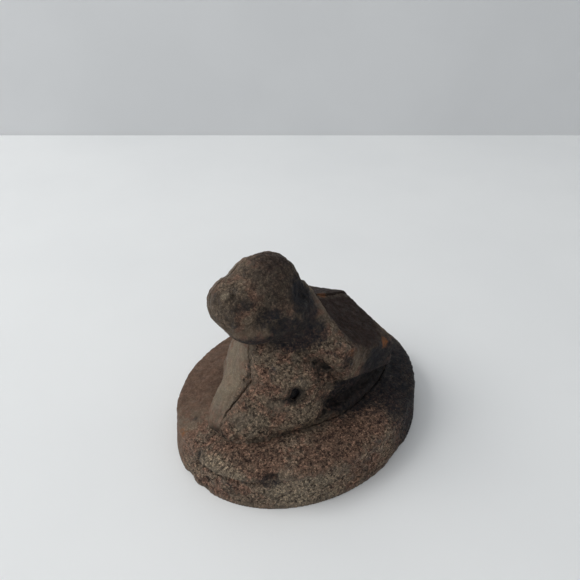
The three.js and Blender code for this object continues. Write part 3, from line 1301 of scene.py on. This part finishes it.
class Graph:
    """Node graph of one material, with short names for the steps the finishes use."""

    def __init__(self, name: str) -> None:
        """Starts an empty graph with a principled surface.

        Args:
            name: Name of what is made.
        """
        self.material = bpy.data.materials.new(name)
        self.material.use_nodes = True
        tree = self.material.node_tree
        tree.nodes.clear()
        self.nodes, self.links = tree.nodes, tree.links
        self.surface = self.nodes.new("ShaderNodeBsdfPrincipled")
        output = self.nodes.new("ShaderNodeOutputMaterial")
        self.links.new(self.surface.outputs["BSDF"], output.inputs["Surface"])
        self.place = self._millimetres()

    def _millimetres(self) -> Socket:
        """Object coordinates in millimetres.

        Returns:
            The coordinates.
        """
        mapping = self.nodes.new("ShaderNodeMapping")
        mapping.inputs["Scale"].default_value = (1.0 / MM,) * 3
        coordinates = self.nodes.new("ShaderNodeTexCoord")
        self.links.new(coordinates.outputs["Object"], mapping.inputs["Vector"])
        return mapping.outputs["Vector"]

    def noise(self, scale: float, detail: float = 4.0, rough: float = 0.6) -> Socket:
        """Gives fractal noise.

        Args:
            scale: Features per millimetre.
            detail: Number of finer layers.
            rough: Strength of the finer layers.

        Returns:
            Its value.
        """
        node = self.nodes.new("ShaderNodeTexNoise")
        node.inputs["Scale"].default_value = scale
        node.inputs["Detail"].default_value = detail
        node.inputs["Roughness"].default_value = rough
        self.links.new(self.place, node.inputs["Vector"])
        return node.outputs["Fac"]

    def patches(
        self, scale: float, low: float, high: float, top: float = 1.0, detail: float = 4.0, rough: float = 0.6
    ) -> Socket:
        """Gives noise turned into patches with soft edges.

        Args:
            scale: Features per millimetre.
            low, high: Noise values where a patch starts and is full.
            top: Value of a full patch.
            detail, rough: As for the noise.

        Returns:
            The patches.
        """
        return self.ranged(self.noise(scale, detail, rough), low, high, 0.0, top)

    def cells(self, scale: float) -> Socket:
        """Distance to the nearest of scattered points, like packed sand.

        Args:
            scale: Features per millimetre.

        Returns:
            The distance, in cells.
        """
        node = self.nodes.new("ShaderNodeTexVoronoi")
        node.inputs["Scale"].default_value = scale
        self.links.new(self.place, node.inputs["Vector"])
        return node.outputs["Distance"]

    def mask(self, mask: Mask) -> Socket:
        """Reads a point attribute.

        Args:
            mask: Point attribute.

        Returns:
            Its value.
        """
        node = self.nodes.new("ShaderNodeAttribute")
        node.attribute_name = mask.value
        return node.outputs["Fac"]

    def ranged(
        self, value: Socket, low: float, high: float, start: float, end: float
    ) -> Socket:
        """Maps low..high smoothly onto start..end.

        Args:
            value: Value to map.
            low: Low end.
            high: High end.
            start: What the low end becomes.
            end: What the high end becomes.

        Returns:
            The mapped value.
        """
        node = self.nodes.new("ShaderNodeMapRange")
        node.interpolation_type = "SMOOTHSTEP"
        for name, number in zip(("From Min", "From Max", "To Min", "To Max"), (low, high, start, end)):
            node.inputs[name].default_value = number
        self.links.new(value, node.inputs["Value"])
        return node.outputs["Result"]

    def maths(self, kind: str, a: Socket, b: Socket) -> Socket:
        """Combines two values.

        Args:
            kind: Operation, such as ADD.
            a: First value.
            b: Second value.

        Returns:
            The result.
        """
        node = self.nodes.new("ShaderNodeMath")
        node.operation = kind
        self.links.new(a, node.inputs[0])
        self.links.new(b, node.inputs[1])
        return node.outputs["Value"]

    def mixed(
        self,
        share: Socket,
        a: Socket | Point,
        b: Socket | Point,
        kind: str = "MIX",
    ) -> Socket:
        """Mixes two colours, or lays the second over the first in another way.

        Args:
            share: How much of the second shows.
            a: First colour.
            b: Second colour.
            kind: Way of mixing, such as MIX or MULTIPLY.

        Returns:
            The mixed colour.
        """
        node = self.nodes.new("ShaderNodeMix")
        node.data_type = "RGBA"
        node.blend_type = kind
        self.links.new(share, node.inputs[MIX_SHARE])
        for socket, colour in ((node.inputs[MIX_FIRST], a), (node.inputs[MIX_SECOND], b)):
            if isinstance(colour, tuple):
                socket.default_value = (*colour, 1.0)
            else:
                self.links.new(colour, socket)
        return node.outputs[MIX_COLOUR]

    def ragged(self, mask: Mask, scale: float, top: float = 1.0) -> Socket:
        """Reads a mask and breaks its edge up with noise.

        Args:
            mask: Point attribute.
            scale: Features of the broken edge per millimetre.
            top: Highest value.

        Returns:
            The broken mask.
        """
        broken = self.ranged(self.noise(scale, 6.0, 0.75), 0.25, 0.75, -RAGGED_EDGE, RAGGED_EDGE)
        soft = self.maths("ADD", self.mask(mask), broken)
        full = self.ranged(soft, 0.0, 0.95, 0.0, top)
        return self.maths("MULTIPLY", full, self.ranged(self.mask(mask), 0.0, 0.15, 0.0, 1.0))

    def bump(self, height: Socket, depth: float, strength: float) -> None:
        """Adds relief of the given depth in millimetres to the surface.

        Args:
            height: Relief between 0 and 1.
            depth: Depth of the full relief, in millimetres.
            strength: Share of it that shows.
        """
        node = self.nodes.new("ShaderNodeBump")
        node.inputs["Distance"].default_value = depth * MM
        node.inputs["Strength"].default_value = strength
        self.links.new(height, node.inputs["Height"])
        self.links.new(node.outputs["Normal"], self.surface.inputs["Normal"])


@dataclass(frozen=True)
class IronFinish:
    """Old cast iron under layers of brown rust, soot and dust, with painted shade and painted highlights.

    Attributes:
        name: Material name.
        brown, umber: The two main tones of its skin.
        rust: Tone of the red rust.
        speck, glint: How much darker the specks among the sand grain are, and how much lighter the painted
            glints on it are.
        blush, slate: Tones of scattered reddish and bluish patches.
        soot, ochre, pale, dark, worn, deep: Tones of the other zones; soot also stands for painted shade,
            pale for painted light, dark for painted shade, worn for painted edge highlights, and deep is
            painted shade in hollows.
        metallic: Share of bare metal.
        gloss: Strength of its reflection.
        relief, relief_strength: Depth of the shaded relief in millimetres, and how much shows.
        patch: Size of the main patches, as features per millimetre.
    """

    name: str
    brown: Point
    umber: Point
    rust: Point
    speck: Point = (0.20, 0.19, 0.21)
    glint: Point = (2.7, 2.6, 2.5)
    blush: Point = (0.205, 0.118, 0.084)
    slate: Point = (0.050, 0.052, 0.056)
    soot_and_shade: Point = (0.010, 0.013, 0.020)
    ochre: Point = (0.30, 0.115, 0.040)
    pale: Point = (0.270, 0.226, 0.164)
    dark: Point = (0.063, 0.049, 0.038)
    worn: Point = (0.20, 0.165, 0.125)
    deep: Point = (0.010, 0.009, 0.009)
    metallic: float = 0.10
    gloss: float = 0.16
    relief: float = 0.45
    relief_strength: float = 0.95
    patch: float = 0.16

    def _colour(self, graph: Graph) -> Socket:
        """Lays the tones over one another.

        Args:
            graph: Graph that takes the nodes.

        Returns:
            The colour.
        """
        grain = graph.ranged(graph.mask(Mask.GRAIN), 0.1, 0.8, 0.10, 1.0)
        tone = graph.mixed(graph.patches(self.patch, 0.38, 0.62), self.brown, self.umber)
        tone = graph.mixed(graph.patches(0.24, 0.46, 0.58, 0.8, 5.0), tone, self.blush)
        tone = graph.mixed(graph.patches(0.31, 0.58, 0.68, 0.7, 6.0, 0.7), tone, self.slate)
        # Darker tone, with painted shade on the sides away from the light
        tone = graph.mixed(graph.ragged(Mask.DARK_AND_SHADE, 0.3, 0.88), tone, self.dark)
        # Pale dust, with painted light on lit sides and a painted glint
        tone = graph.mixed(graph.ragged(Mask.PALE_AND_LIGHT, 0.5, 0.75), tone, self.pale)
        shaded = tuple(RUST_SHADE * part for part in self.rust)
        rust = graph.mixed(graph.patches(0.45, 0.42, 0.58, 1.0, 6.0, 0.7), self.rust, shaded)
        tone = graph.mixed(graph.ragged(Mask.RUST, 0.35, 0.9), tone, rust)
        dark = graph.patches(1.0, 0.48, 0.56, 1.0, 6.0, 0.85)
        tone = graph.mixed(graph.maths("MULTIPLY", dark, grain), tone, self.speck, "MULTIPLY")
        # Painted glints on the sand grain, as lighter specks
        light = graph.patches(1.5, 0.51, 0.58, 1.0, 4.0, 0.85)
        tone = graph.mixed(graph.maths("MULTIPLY", light, grain), tone, self.glint, "MULTIPLY")
        # Worn edges, with painted edge highlights
        tone = graph.mixed(graph.ragged(Mask.WEAR_AND_HIGHLIGHT, 0.9, 0.5), tone, self.worn)
        # Blue-black patina with painted shade and painted shadow, broken up by noise
        thin = graph.ranged(graph.noise(1.1, 6.0, 0.75), 0.38, 0.62, 0.72, 1.0)
        soot_and_shade_share = graph.maths("MULTIPLY", graph.ragged(Mask.SOOT_AND_SHADE, 0.45, 0.94), thin)
        tone = graph.mixed(soot_and_shade_share, tone, self.soot_and_shade)
        # Painted shade in hollows
        tone = graph.mixed(graph.ranged(graph.mask(Mask.CAVITY), 0.12, 0.7, 0.0, 0.85), tone, self.deep)
        return graph.mixed(graph.ragged(Mask.OCHRE, 0.9, 0.95), tone, self.ochre)

    def _relief(self, graph: Graph) -> Socket:
        """Sand grain, flaking rust and fine tooth.

        Args:
            graph: Graph that takes the nodes.

        Returns:
            The relief.
        """
        grain = graph.ranged(graph.mask(Mask.GRAIN), 0.0, 1.0, 0.2, 1.0)
        sand = graph.maths("MULTIPLY", graph.ranged(graph.cells(1.25), 0.0, 0.75, 1.0, 0.0), grain)
        flakes = graph.patches(0.6, 0.35, 0.65, 1.0, 7.0, 0.72)
        tooth = graph.patches(3.5, 0.3, 0.7, 0.3, 3.0, 0.6)
        return graph.maths("ADD", graph.maths("ADD", sand, flakes), tooth)

    def material(self) -> bpy.types.Material:
        """Makes the material.

        Returns:
            The new material.
        """
        graph = Graph(self.name)
        surface = graph.surface
        surface.inputs["Metallic"].default_value = self.metallic
        surface.inputs["Specular IOR Level"].default_value = self.gloss
        graph.links.new(self._colour(graph), surface.inputs["Base Color"])
        sheen = graph.ranged(graph.noise(0.4, 5.0, 0.65), 0.3, 0.7, 0.55, 0.92)
        rub = graph.ranged(graph.mask(Mask.WEAR_AND_HIGHLIGHT), 0.1, 0.6, 0.0, 0.15)
        graph.links.new(graph.maths("SUBTRACT", sheen, rub), surface.inputs["Roughness"])
        graph.bump(self._relief(graph), self.relief, self.relief_strength)
        return graph.material


@dataclass(frozen=True)
class TableFinish:
    """Smooth pale table or wall.

    Attributes:
        name: Material name.
        colour, faint: Its tone, and that of its faint clouds.
        roughness, gloss: How matt it is, and the strength of its reflection.
    """

    name: str
    colour: Point
    faint: Point
    roughness: float = 0.55
    gloss: float = 0.3

    def material(self) -> bpy.types.Material:
        """Makes the material.

        Returns:
            The new material.
        """
        graph = Graph(self.name)
        share = graph.patches(0.012, 0.3, 0.7, 1.0, 3.0, 0.5)
        graph.links.new(graph.mixed(share, self.colour, self.faint), graph.surface.inputs["Base Color"])
        graph.surface.inputs["Roughness"].default_value = self.roughness
        graph.surface.inputs["Specular IOR Level"].default_value = self.gloss
        return graph.material


# ---- pieces


@dataclass(frozen=True)
class Piece:
    """One named piece: a solid, its weathering and the CAD node it stands for.

    Attributes:
        name: Name of the new object.
        node: CAD node that it replaces, whose box it keeps to.
        slot: Material slot.
        distance: Solid, as a signed distance.
        weathering_and_shade: Zones of rust, dust and soot, with painted shade and painted highlights.
        grain: Share of sand grain at each place.
        pitch: Mesh step, in millimetres.
        around: Further nodes whose boxes it may reach into.
    """

    name: str
    node: str
    slot: Slot
    distance: Distance
    weathering_and_shade: WeatheringAndShade
    grain: Distance
    pitch: float
    around: tuple[str, ...] = ()

    def build(self, material: bpy.types.Material) -> bpy.types.Object:
        """Skins the solid, adds its masks and ties it to the frame.

        Args:
            material: Finish for the whole piece.

        Returns:
            The new object.
        """
        low, high = node_box(self.node, *self.around)
        solid = self._boxed(low, high)
        skinner = Skinner(self.pitch)
        start = low - GRID_MARGIN * self.pitch
        places, shape = skinner.grid(start, high + GRID_MARGIN * self.pitch)
        values = np.concatenate([solid(part) for part in np.array_split(places, BATCHES)])
        points, quads = skinner.skin(values.reshape(shape), start)
        reach = SETTLE_REACH * self.pitch
        for _ in range(SETTLE_ROUNDS):
            move = -solid(points)[:, None] * slope(solid, points)
            points = points + np.clip(move, -reach, reach)
        points = np.clip(points, low, high)
        masks = self.weathering_and_shade.masks(points, self.distance, self.grain(points))
        piece = self._object(points, quads, masks)
        piece.data.materials.append(material)
        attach(piece, ROOT)
        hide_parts(self.node)
        return piece

    def _boxed(self, low: Array, high: Array) -> Distance:
        """Keeps the solid inside its node's box.

        Args:
            low: Lowest corner of the box.
            high: Highest corner of the box.

        Returns:
            The closed solid.
        """

        def inside(points: Array) -> Array:
            """Gives the distance of the solid and the box together."""
            box = np.maximum(low - points, points - high).max(axis=1) + BOX_INSET
            return np.maximum(self.distance(points), box)

        return inside

    def _object(self, points: Array, quads: Array, masks: dict[Mask, Array]) -> bpy.types.Object:
        """Makes the Blender object from points in millimetres.

        Args:
            points: Places, one row each.
            quads: Rows of point numbers.
            masks: Value of each mask at each point.

        Returns:
            The new object.
        """
        mesh = bpy.data.meshes.new(self.name)
        mesh.vertices.add(len(points))
        mesh.vertices.foreach_set("co", (points * MM).astype(np.float32).ravel())
        mesh.loops.add(quads.size)
        mesh.loops.foreach_set("vertex_index", quads.astype(np.int32).ravel())
        mesh.polygons.add(len(quads))
        mesh.polygons.foreach_set("loop_start", np.arange(0, quads.size, 4, dtype=np.int32))
        mesh.update(calc_edges=True)
        mesh.validate()
        for mask, values in masks.items():
            layer = mesh.attributes.new(mask.value, "FLOAT", "POINT")
            layer.data.foreach_set("value", values.astype(np.float32))
        mesh.shade_smooth()
        piece = bpy.data.objects.new(self.name, mesh)
        bpy.context.scene.collection.objects.link(piece)
        return piece


def node_box(*nodes: str) -> tuple[Array, Array]:
    """Lowest and highest corner of one or more CAD nodes together, in millimetres."""
    boxes = np.array([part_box(node) for node in nodes]) / MM
    return boxes[:, 0].min(axis=0), boxes[:, 1].max(axis=0)


def plain(value: float) -> Distance:
    """Gives the same value at every place."""
    return lambda points: np.full(len(points), value)


class Paperweight:
    """The whole assembly: two half castings on a plinth, with pins and screws."""

    HALVES = ("near_half_casting", "far_half_casting")
    RIVETS = ("chest_rivet", "rump_rivet")
    DOWELS = ("neck_dowel", "foot_dowel")
    SCREWS = ("screw_front_near", "screw_front_far", "screw_rear_near", "screw_rear_far")

    def __init__(self, pitch: float, fine_pitch: float) -> None:
        """Reads the places of every node from the frame.

        Args:
            pitch: Mesh step of the castings, in millimetres.
            fine_pitch: Mesh step of the pins and screws.
        """
        self.pitch, self.fine_pitch = pitch, fine_pitch
        low, high = node_box("near_half_casting")
        base_low, base_high = node_box("plinth")
        crown = max(high[2], node_box("far_half_casting")[1][2]) - CROWN_INSET
        self.creature = Creature(seat=float(low[2]), crown=float(crown))
        half = (base_high - base_low) / 2
        length, width = float(half[0]) - PLINTH_INSET, float(half[1]) - PLINTH_INSET
        self.plinth = Plinth(length, width, float(base_high[2]))
        self.parting = PartingFace()

    def _screw(self, node: str) -> Screw:
        """Sizes of one screw.

        Args:
            node: Name of its CAD node.

        Returns:
            The screw.
        """
        low, high = node_box(node)
        x, y = (low + high)[:2] / 2
        return Screw(x, y, SHANK_RADIUS, (high - low)[0] / 2, low[2], high[2])

    def _rivet(self, node: str) -> Rivet:
        """Sizes of one rivet.

        Args:
            node: Name of its CAD node.

        Returns:
            The rivet.
        """
        low, high = node_box(node)
        x, _, z = (low + high) / 2
        return Rivet(x, z, SHANK_RADIUS, (high - low)[0] / 2, low[1], high[1])

    def _dowel(self, node: str) -> Dowel:
        """Sizes of one dowel.

        Args:
            node: Name of its CAD node.

        Returns:
            The dowel.
        """
        low, high = node_box(node)
        x, _, z = (low + high) / 2
        return Dowel(x, z, (high - low)[0] / 2, low[1], high[1])

    def _cross_holes(self) -> tuple[Bore, ...]:
        """Holes for the rivets' shanks and the dowels.

        Returns:
            The holes.
        """
        holes = []
        for rivet in map(self._rivet, self.RIVETS):
            holes.append(Bore(1, (rivet.x, rivet.z), rivet.shank + CLEARANCE, rivet.near, rivet.far))
        for pin in map(self._dowel, self.DOWELS):
            ends = pin.near - CLEARANCE, pin.far + CLEARANCE
            holes.append(Bore(1, (pin.x, pin.z), pin.radius + CLEARANCE, *ends))
        return tuple(holes)

    def _sinks(self) -> tuple[Bore, ...]:
        """Pockets for the rivet heads at both sides.

        Returns:
            The pockets.
        """
        sinks = []
        for rivet in map(self._rivet, self.RIVETS):
            centre, radius = (rivet.x, rivet.z), rivet.head + SINK_EASE
            deep = rivet.head_height + CLEARANCE
            sinks.append(Bore(1, centre, radius, rivet.near - SINK_EASE, rivet.near + deep))
            sinks.append(Bore(1, centre, radius, rivet.far - deep, rivet.far + SINK_EASE))
        return tuple(sinks)

    def _screw_holes(self) -> tuple[Bore, ...]:
        """Upright holes for the screws and their heads.

        Returns:
            The holes.
        """
        holes = []
        for screw in map(self._screw, self.SCREWS):
            centre, neck = (screw.x, screw.y), screw.low + screw.head_height + CLEARANCE
            holes.append(Bore(2, centre, screw.shank + CLEARANCE, HOLE_LOW, screw.high + CLEARANCE))
            holes.append(Bore(2, centre, screw.head + CLEARANCE, HOLE_LOW, neck))
        return tuple(holes)

    def castings(self) -> list[Piece]:
        """The two halves and the plinth.

        Returns:
            The three pieces.
        """
        bores = self._cross_holes() + self._screw_holes()
        sinks = self._sinks()
        pieces = []
        for name, node, sign in zip(("cast_near_half", "cast_far_half"), self.HALVES, (1.0, -1.0)):
            half = HalfCasting(self.creature, self.parting, sign, bores, sinks)
            pieces.append(Piece(name, node, Slot.CREATURE, half.distance, CREATURE_WEATHERING_AND_SHADE,
                                self.creature.grain_zone, self.pitch, self.HALVES))
        plinth = PlinthCasting(self.plinth, self.creature, self._screw_holes())
        pieces.append(Piece("cast_plinth", "plinth", Slot.PLINTH, plinth.distance, PLINTH_WEATHERING_AND_SHADE,
                            self.plinth.grain_zone, self.pitch))
        return pieces

    def fixings(self) -> list[Piece]:
        """The rivets, dowels and screws.

        Returns:
            The eight pieces.
        """
        forms = {node: self._rivet(node) for node in self.RIVETS}
        forms |= {node: self._dowel(node) for node in self.DOWELS}
        forms |= {node: self._screw(node) for node in self.SCREWS}
        return [
            Piece(f"steel_{node}", node, Slot.FIXING, form.distance, FIXING_WEATHERING_AND_SHADE,
                  plain(1.0), self.fine_pitch)
            for node, form in forms.items()
        ]


# ---- setting


class Studio:
    """Pale table and wall under soft light from the left, and the main camera."""

    CAMERA = (-105.48, -94.97, 139.48)
    FORWARD = (0.60894, 0.57148, -0.55010)
    RIGHT = (0.68432, -0.72918, 0.0)
    UP = (0.40112, 0.37644, 0.83510)
    HEADING = (0.72918, 0.68432)
    SENSOR = 36.0
    LENS = 600 / 580 * SENSOR
    CLIP_START = 0.005
    TABLE_NEAR, TABLE_DEPTH, HALF_WIDTH = -500.0, 407.0, 1200.0
    WALL_GAP, WALL_LOW, WALL_HIGH = 1.0, -200.0, 700.0
    LIGHT_SIZE = (0.60, 0.48)
    LIGHT_POWER = 3.9
    LIGHT_COLOUR = (1.0, 0.985, 0.96)
    LIGHT_DIRECTION = (-0.50, 0.46, 0.73)
    LIGHT_DISTANCE = 0.95
    ROOM_TURN = -133.0
    ROOM_DIM = (0.30, 0.31, 0.32, 1)
    ROOM_BRIGHT = (0.88, 0.88, 0.88, 1)

    def camera(self) -> None:
        """Sets the main camera."""
        data = bpy.data.cameras.new("main_camera")
        data.lens = self.LENS
        data.sensor_width = self.SENSOR
        data.clip_start = self.CLIP_START
        camera = bpy.data.objects.new("main_camera", data)
        bpy.context.scene.collection.objects.link(camera)
        rows = zip(self.RIGHT, self.UP, (-v for v in self.FORWARD), (v * MM for v in self.CAMERA))
        camera.matrix_world = Matrix([*rows, (0, 0, 0, 1)])
        bpy.context.scene.camera = camera

    def _sheet(self, name: str, corners: list[Point], finish: TableFinish) -> bpy.types.Object:
        """Makes one flat four-cornered surface from corners in millimetres.

        Args:
            name: Name of what is made.
            corners: Its corners, in order.
            finish: Its finish.

        Returns:
            The new object.
        """
        mesh = bpy.data.meshes.new(name)
        mesh.from_pydata([Vector(c) * MM for c in corners], [], [(0, 1, 2, 3)])
        sheet = bpy.data.objects.new(name, mesh)
        mesh.materials.append(finish.material())
        bpy.context.scene.collection.objects.link(sheet)
        return sheet

    def surroundings(self) -> None:
        """Builds the table and the wall."""
        hx, hy = self.HEADING
        sx, sy = self.RIGHT[:2]
        cx, cy = self.CAMERA[:2]

        def place(along: float, side: int, height: float) -> Point:
            """Gives a corner from its depth along the view, its side and its height."""
            across = side * self.HALF_WIDTH
            return (cx + hx * along + sx * across, cy + hy * along + sy * across, height)

        near, edge = self.TABLE_NEAR, self.TABLE_DEPTH
        table = [place(near, -1, 0), place(near, 1, 0), place(edge, 1, 0), place(edge, -1, 0)]
        back, low, high = edge + self.WALL_GAP, self.WALL_LOW, self.WALL_HIGH
        wall = [place(back, -1, low), place(back, 1, low), place(back, 1, high), place(back, -1, high)]
        pale = TableFinish("pale_table", (0.825, 0.842, 0.850), (0.800, 0.818, 0.828))
        grey = TableFinish("grey_wall", (0.68, 0.695, 0.71), (0.65, 0.665, 0.68))
        self._sheet("table_top", table, pale)
        self._sheet("wall", wall, grey)

    def lights(self) -> None:
        """Adds one large soft light and the dim room around it."""
        data = bpy.data.lights.new("window_light", "AREA")
        data.shape = "RECTANGLE"
        data.size, data.size_y = self.LIGHT_SIZE
        data.energy = self.LIGHT_POWER
        data.color = self.LIGHT_COLOUR
        lamp = bpy.data.objects.new("window_light", data)
        bpy.context.scene.collection.objects.link(lamp)
        towards = Vector(self.LIGHT_DIRECTION).normalized()
        lamp.location = towards * self.LIGHT_DISTANCE
        lamp.rotation_euler = towards.to_track_quat("Z", "Y").to_euler()
        self._room()

    def _room(self) -> None:
        """World light that fades from the bright left to the dim right."""
        world = bpy.data.worlds.new("room")
        world.use_nodes = True
        nodes, links = world.node_tree.nodes, world.node_tree.links
        nodes.clear()
        background = nodes.new("ShaderNodeBackground")
        output = nodes.new("ShaderNodeOutputWorld")
        ramp = nodes.new("ShaderNodeValToRGB")
        mapping = nodes.new("ShaderNodeMapping")
        gradient = nodes.new("ShaderNodeTexGradient")
        mapping.inputs["Rotation"].default_value = (0.0, 0.0, math.radians(self.ROOM_TURN))
        mapping.inputs["Location"].default_value = (0.5, 0.0, 0.0)
        mapping.inputs["Scale"].default_value = (0.5, 0.5, 0.5)
        ramp.color_ramp.elements[0].color = self.ROOM_DIM
        ramp.color_ramp.elements[1].color = self.ROOM_BRIGHT
        coordinates = nodes.new("ShaderNodeTexCoord")
        links.new(coordinates.outputs["Generated"], mapping.inputs["Vector"])
        links.new(mapping.outputs["Vector"], gradient.inputs["Vector"])
        links.new(gradient.outputs["Fac"], ramp.inputs["Fac"])
        links.new(ramp.outputs["Color"], background.inputs["Color"])
        background.inputs["Strength"].default_value = 1.0
        links.new(background.outputs["Background"], output.inputs["Surface"])
        bpy.context.scene.world = world


# ---- running


FINISHES = {
    Slot.CREATURE: IronFinish(
        "creature_iron", (0.205, 0.157, 0.112), (0.138, 0.102, 0.074), (0.031, 0.0175, 0.015)
    ),
    Slot.PLINTH: IronFinish(
        "plinth_iron", (0.225, 0.171, 0.124), (0.150, 0.110, 0.081), (0.190, 0.118, 0.084)
    ),
    Slot.FIXING: IronFinish(
        "fixing_steel", (0.080, 0.062, 0.048), (0.050, 0.040, 0.032), (0.10, 0.05, 0.03), metallic=0.5
    ),
}


def main() -> None:
    logging.basicConfig(level=logging.INFO, format="%(message)s")
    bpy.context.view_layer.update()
    bpy.context.scene.view_settings.view_transform = "Standard"
    weight = Paperweight(*FULL_PITCHES)
    materials = {slot: finish.material() for slot, finish in FINISHES.items()}
    for piece in (*weight.castings(), *weight.fixings()):
        made = piece.build(materials[piece.slot])
        log.info("%s: %d points", made.name, len(made.data.vertices))
    studio = Studio()
    studio.camera()
    studio.surroundings()
    studio.lights()


if __name__ == "__main__":
    main()
